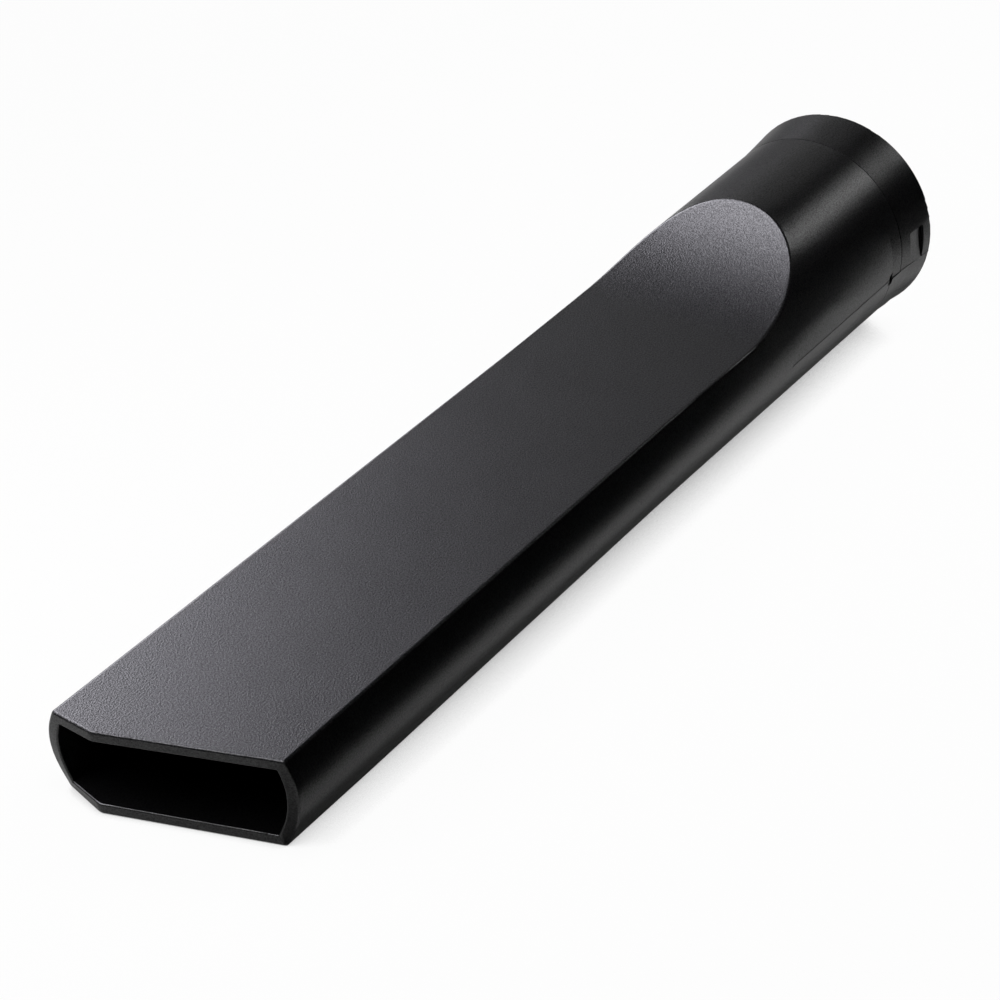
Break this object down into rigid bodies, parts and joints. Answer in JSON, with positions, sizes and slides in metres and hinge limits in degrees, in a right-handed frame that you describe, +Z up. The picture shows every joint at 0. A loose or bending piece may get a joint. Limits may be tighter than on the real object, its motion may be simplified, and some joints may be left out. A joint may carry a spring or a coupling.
{
  "type": "vacuum crevice tool",
  "caption": "One-piece black plastic crevice nozzle: a round push-on connector narrows into a long flat blade with a slanted, blunt-tipped suction mouth.",
  "frame": {"origin": "centre of the bounding box's base, on the ground the tool lies on", "axes": "+X from the mouth to the connector, +Y to the tool's left seen from the mouth's flat top, +Z up"},
  "size_m": [0.2014, 0.04, 0.0403],
  "materials": {
    "black_polypropylene": "fine spark-eroded grain on the flats, semi-matt on the tube"
  },
  "bodies": {
    "root": {"crevice_tool": "black_polypropylene"}
  },
  "joints": []
}
